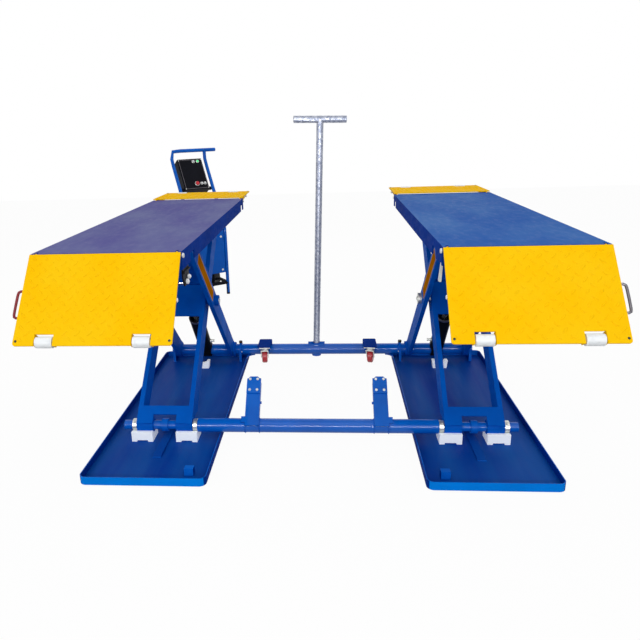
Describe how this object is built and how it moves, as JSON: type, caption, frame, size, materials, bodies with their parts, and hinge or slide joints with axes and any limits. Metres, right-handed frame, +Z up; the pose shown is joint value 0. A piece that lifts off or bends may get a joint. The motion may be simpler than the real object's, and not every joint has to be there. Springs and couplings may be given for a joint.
{
  "type": "portable scissor car lift",
  "caption": "Portable mid-rise scissor car lift: paired decks with tread ramps on crossed frames over floor trays, tied by cross tubes, with a pull handle and a separate pump trolley.",
  "frame": {"origin": "on the floor under the middle of the whole object, lift and pump trolley together", "axes": "+Z up, +Y from the front ramps towards the rear tube and the trolley, +X to the right as seen from the front"},
  "size_m": [2.2024, 3.4944, 1.3394],
  "materials": {
    "blue": "gloss paint",
    "deck_blue": "satin paint",
    "yellow": "gloss paint over raised tread",
    "zinc": "zinc plate",
    "galvanised": "galvanised",
    "nylon": "matt",
    "black": "satin",
    "chrome": "polished",
    "steel": "bare rod",
    "red_wheel": "cast polyurethane",
    "dark_pin": "dark finish",
    "tyre": "matt",
    "green": "gloss",
    "red": "gloss",
    "white": "gloss"
  },
  "bodies": {
    "base": {"left_tray": "blue", "right_tray": "blue", "rear_tube": "blue", "trolley_frame": "blue", "trolley_housing": "blue", "trolley_motor": "black", "control_box": "black", "power_lamp": "green"},
    "left_outer_frame": {"left_outer_frame": "blue", "left_centre_shaft": "zinc"},
    "right_outer_frame": {"right_outer_frame": "blue", "right_centre_shaft": "zinc"},
    "inner_frames": {"left_inner_frame": "blue", "right_inner_frame": "blue", "sync_tube": "blue", "left_sync_arm": "blue", "right_sync_arm": "blue"},
    "foot_blocks": {"left_outer_foot_block": "nylon", "left_inner_foot_block": "nylon", "right_inner_foot_block": "nylon", "right_outer_foot_block": "nylon"},
    "left_deck": {"left_deck": "deck_blue", "left_front_ramp_pin": "zinc", "left_rear_ramp_pin": "zinc"},
    "left_head_blocks": {"left_outer_head_block": "nylon", "left_inner_head_block": "nylon"},
    "left_lock_pawl": {"left_lock_pawl": "blue"},
    "left_cylinder_barrel": {"left_cylinder_barrel": "black"},
    "left_cylinder_rod": {"left_cylinder_rod": "chrome"},
    "left_lock_pin": {"left_lock_pin": "dark_pin"},
    "left_front_ramp": {"left_front_ramp": "yellow", "left_ramp_handle": "steel"},
    "left_rear_ramp": {"left_rear_ramp": "yellow"},
    "left_front_rollers": {"left_front_rollers": "nylon"},
    "left_rear_rollers": {"left_rear_rollers": "nylon"},
    "left_castor_fork": {"left_castor_fork": "zinc"},
    "left_castor_wheel": {"left_castor_wheel": "red_wheel"},
    "trolley_left_wheel": {"trolley_left_wheel": "tyre"},
    "right_deck": {"right_deck": "deck_blue", "right_front_ramp_pin": "zinc", "right_rear_ramp_pin": "zinc"},
    "right_head_blocks": {"right_outer_head_block": "nylon", "right_inner_head_block": "nylon"},
    "right_lock_pawl": {"right_lock_pawl": "blue"},
    "right_cylinder_barrel": {"right_cylinder_barrel": "black"},
    "right_cylinder_rod": {"right_cylinder_rod": "chrome"},
    "right_lock_pin": {"right_lock_pin": "dark_pin"},
    "right_front_ramp": {"right_front_ramp": "yellow", "right_ramp_handle": "steel"},
    "right_rear_ramp": {"right_rear_ramp": "yellow"},
    "right_front_rollers": {"right_front_rollers": "nylon"},
    "right_rear_rollers": {"right_rear_rollers": "nylon"},
    "right_castor_fork": {"right_castor_fork": "zinc"},
    "right_castor_wheel": {"right_castor_wheel": "red_wheel"},
    "trolley_right_wheel": {"trolley_right_wheel": "tyre"},
    "pull_handle": {"pull_handle": "galvanised"},
    "raise_button": {"raise_button": "white"},
    "lower_button": {"lower_button": "white"},
    "stop_button": {"stop_button": "red"},
    "power_switch": {"power_switch": "white"}
  },
  "joints": [
    {"name": "lift", "type": "hinge", "parent": "base", "child": "left_outer_frame", "pos_m": [-0.48604, -0.11547, 0.066], "axis": [-1, 0, 0], "range_deg": [-40.39, 5.29]},
    {"name": "right_outer_fold", "type": "hinge", "parent": "base", "child": "right_outer_frame", "pos_m": [0.82396, -0.11547, 0.066], "axis": [-1, 0, 0], "range_deg": [-40.41, 5.31]},
    {"name": "centre_pivot", "type": "hinge", "parent": "left_outer_frame", "child": "inner_frames", "pos_m": [-0.48604, -0.59187, 0.49337], "axis": [-1, 0, 0], "range_deg": [-10.6, 80.79]},
    {"name": "foot_pivot", "type": "hinge", "parent": "inner_frames", "child": "foot_blocks", "pos_m": [0.16896, -1.06827, 0.066], "axis": [-1, 0, 0], "range_deg": [-40.41, 5.31]},
    {"name": "left_deck_pivot", "type": "hinge", "parent": "inner_frames", "child": "left_deck", "pos_m": [-0.48604, -0.16311, 0.878], "axis": [-1, 0, 0], "range_deg": [-40.41, 5.31]},
    {"name": "left_head_pivot", "type": "hinge", "parent": "left_outer_frame", "child": "left_head_blocks", "pos_m": [-0.48604, -1.02063, 0.878], "axis": [1, 0, 0], "range_deg": [-40.41, 5.31]},
    {"name": "left_lock_release", "type": "hinge", "parent": "foot_blocks", "child": "left_lock_pawl", "pos_m": [-0.48604, -1.06827, 0.066], "axis": [1, 0, 0], "range_deg": [0, 25]},
    {"name": "left_cylinder_base", "type": "hinge", "parent": "base", "child": "left_cylinder_barrel", "pos_m": [-0.48604, -0.11547, 0.066], "axis": [-1, 0, 0], "range_deg": [-46.06, 6.05]},
    {"name": "left_cylinder_eye", "type": "hinge", "parent": "inner_frames", "child": "left_cylinder_rod", "pos_m": [-0.48604, -0.52411, 0.56759], "axis": [-1, 0, 0], "range_deg": [-86.45, 11.34]},
    {"name": "left_lock_pin_pull", "type": "slide", "parent": "base", "child": "left_lock_pin", "axis": [0, 0, 1], "range_m": [0, 0.01], "stiffness_N_per_m": 900, "springref_m": -0.01},
    {"name": "left_front_ramp_hinge", "type": "hinge", "parent": "left_deck", "child": "left_front_ramp", "pos_m": [-0.49104, -1.52947, 0.906], "axis": [1, 0, 0], "range_deg": [-50.4, 0]},
    {"name": "left_rear_ramp_hinge", "type": "hinge", "parent": "left_deck", "child": "left_rear_ramp", "pos_m": [-0.49104, -0.04747, 0.906], "axis": [-1, 0, 0], "range_deg": [0, 50.4]},
    {"name": "left_front_roller_spin", "type": "hinge", "parent": "left_front_ramp", "child": "left_front_rollers", "pos_m": [-0.49104, -1.72622, 0.68072], "axis": [1, 0, 0], "continuous": true},
    {"name": "left_rear_roller_spin", "type": "hinge", "parent": "left_rear_ramp", "child": "left_rear_rollers", "pos_m": [-0.49104, 0.25153, 0.914], "axis": [1, 0, 0], "continuous": true},
    {"name": "right_deck_pivot", "type": "hinge", "parent": "inner_frames", "child": "right_deck", "pos_m": [0.82396, -0.16311, 0.878], "axis": [-1, 0, 0], "range_deg": [-40.41, 5.31]},
    {"name": "right_head_pivot", "type": "hinge", "parent": "right_outer_frame", "child": "right_head_blocks", "pos_m": [0.82396, -1.02063, 0.878], "axis": [1, 0, 0], "range_deg": [-40.41, 5.31]},
    {"name": "right_lock_release", "type": "hinge", "parent": "foot_blocks", "child": "right_lock_pawl", "pos_m": [0.82396, -1.06827, 0.066], "axis": [1, 0, 0], "range_deg": [0, 25]},
    {"name": "right_cylinder_base", "type": "hinge", "parent": "base", "child": "right_cylinder_barrel", "pos_m": [0.82396, -0.11547, 0.066], "axis": [-1, 0, 0], "range_deg": [-46.06, 6.05]},
    {"name": "right_cylinder_eye", "type": "hinge", "parent": "inner_frames", "child": "right_cylinder_rod", "pos_m": [0.82396, -0.52411, 0.56759], "axis": [-1, 0, 0], "range_deg": [-86.45, 11.34]},
    {"name": "right_lock_pin_pull", "type": "slide", "parent": "base", "child": "right_lock_pin", "axis": [0, 0, 1], "range_m": [0, 0.01], "stiffness_N_per_m": 900, "springref_m": -0.01},
    {"name": "right_front_ramp_hinge", "type": "hinge", "parent": "right_deck", "child": "right_front_ramp", "pos_m": [0.82896, -1.52947, 0.906], "axis": [1, 0, 0], "range_deg": [-50.4, 0]},
    {"name": "right_rear_ramp_hinge", "type": "hinge", "parent": "right_deck", "child": "right_rear_ramp", "pos_m": [0.82896, -0.04747, 0.906], "axis": [-1, 0, 0], "range_deg": [0, 50.4]},
    {"name": "right_front_roller_spin", "type": "hinge", "parent": "right_front_ramp", "child": "right_front_rollers", "pos_m": [0.82896, -1.72622, 0.68072], "axis": [1, 0, 0], "continuous": true},
    {"name": "right_rear_roller_spin", "type": "hinge", "parent": "right_rear_ramp", "child": "right_rear_rollers", "pos_m": [0.82896, 0.25153, 0.914], "axis": [1, 0, 0], "continuous": true},
    {"name": "left_castor_swivel", "type": "hinge", "parent": "base", "child": "left_castor_fork", "pos_m": [-0.13704, -0.20947, 0.114], "axis": [0, 0, 1], "continuous": true},
    {"name": "left_castor_spin", "type": "hinge", "parent": "left_castor_fork", "child": "left_castor_wheel", "pos_m": [-0.13934, -0.18759, 0.05], "axis": [0.9945, 0.1045, 0], "continuous": true},
    {"name": "right_castor_swivel", "type": "hinge", "parent": "base", "child": "right_castor_fork", "pos_m": [0.44996, -0.20947, 0.114], "axis": [0, 0, 1], "continuous": true},
    {"name": "right_castor_spin", "type": "hinge", "parent": "right_castor_fork", "child": "right_castor_wheel", "pos_m": [0.45453, -0.18795, 0.05], "axis": [0.9781, -0.2079, 0], "continuous": true},
    {"name": "pull_handle_lift", "type": "slide", "parent": "base", "child": "pull_handle", "axis": [0.0288, 0, 0.9996], "range_m": [0, 0.09]},
    {"name": "trolley_left_wheel_spin", "type": "hinge", "parent": "base", "child": "trolley_left_wheel", "pos_m": [-1.04135, 1.47117, 0.08], "axis": [0.8192, 0.5736, 0], "continuous": true},
    {"name": "trolley_right_wheel_spin", "type": "hinge", "parent": "base", "child": "trolley_right_wheel", "pos_m": [-0.75465, 1.67193, 0.08], "axis": [0.8192, 0.5736, 0], "continuous": true},
    {"name": "raise_button_press", "type": "slide", "parent": "base", "child": "raise_button", "axis": [-0.4967, 0.7094, -0.5], "range_m": [0, 0.003], "stiffness_N_per_m": 500, "springref_m": -0.002},
    {"name": "lower_button_press", "type": "slide", "parent": "base", "child": "lower_button", "axis": [-0.4967, 0.7094, -0.5], "range_m": [0, 0.003], "stiffness_N_per_m": 500, "springref_m": -0.002},
    {"name": "stop_button_press", "type": "slide", "parent": "base", "child": "stop_button", "axis": [-0.4967, 0.7094, -0.5], "range_m": [0, 0.003], "stiffness_N_per_m": 500, "springref_m": -0.002},
    {"name": "power_switch_press", "type": "slide", "parent": "base", "child": "power_switch", "axis": [-0.4967, 0.7094, -0.5], "range_m": [0, 0.003], "stiffness_N_per_m": 500, "springref_m": -0.002}
  ],
  "couplings": [
    {"joint": "right_outer_fold", "follows": "lift", "ratio": 1},
    {"joint": "centre_pivot", "follows": "lift", "ratio": -2},
    {"joint": "foot_pivot", "follows": "lift", "ratio": 1},
    {"joint": "left_deck_pivot", "follows": "lift", "ratio": 1},
    {"joint": "left_head_pivot", "follows": "lift", "ratio": 1},
    {"joint": "left_cylinder_base", "follows": "lift", "ratio": 1.14},
    {"joint": "left_cylinder_eye", "follows": "lift", "ratio": 2.14},
    {"joint": "right_deck_pivot", "follows": "lift", "ratio": 1},
    {"joint": "right_head_pivot", "follows": "lift", "ratio": 1},
    {"joint": "right_cylinder_base", "follows": "lift", "ratio": 1.14},
    {"joint": "right_cylinder_eye", "follows": "lift", "ratio": 2.14}
  ]
}
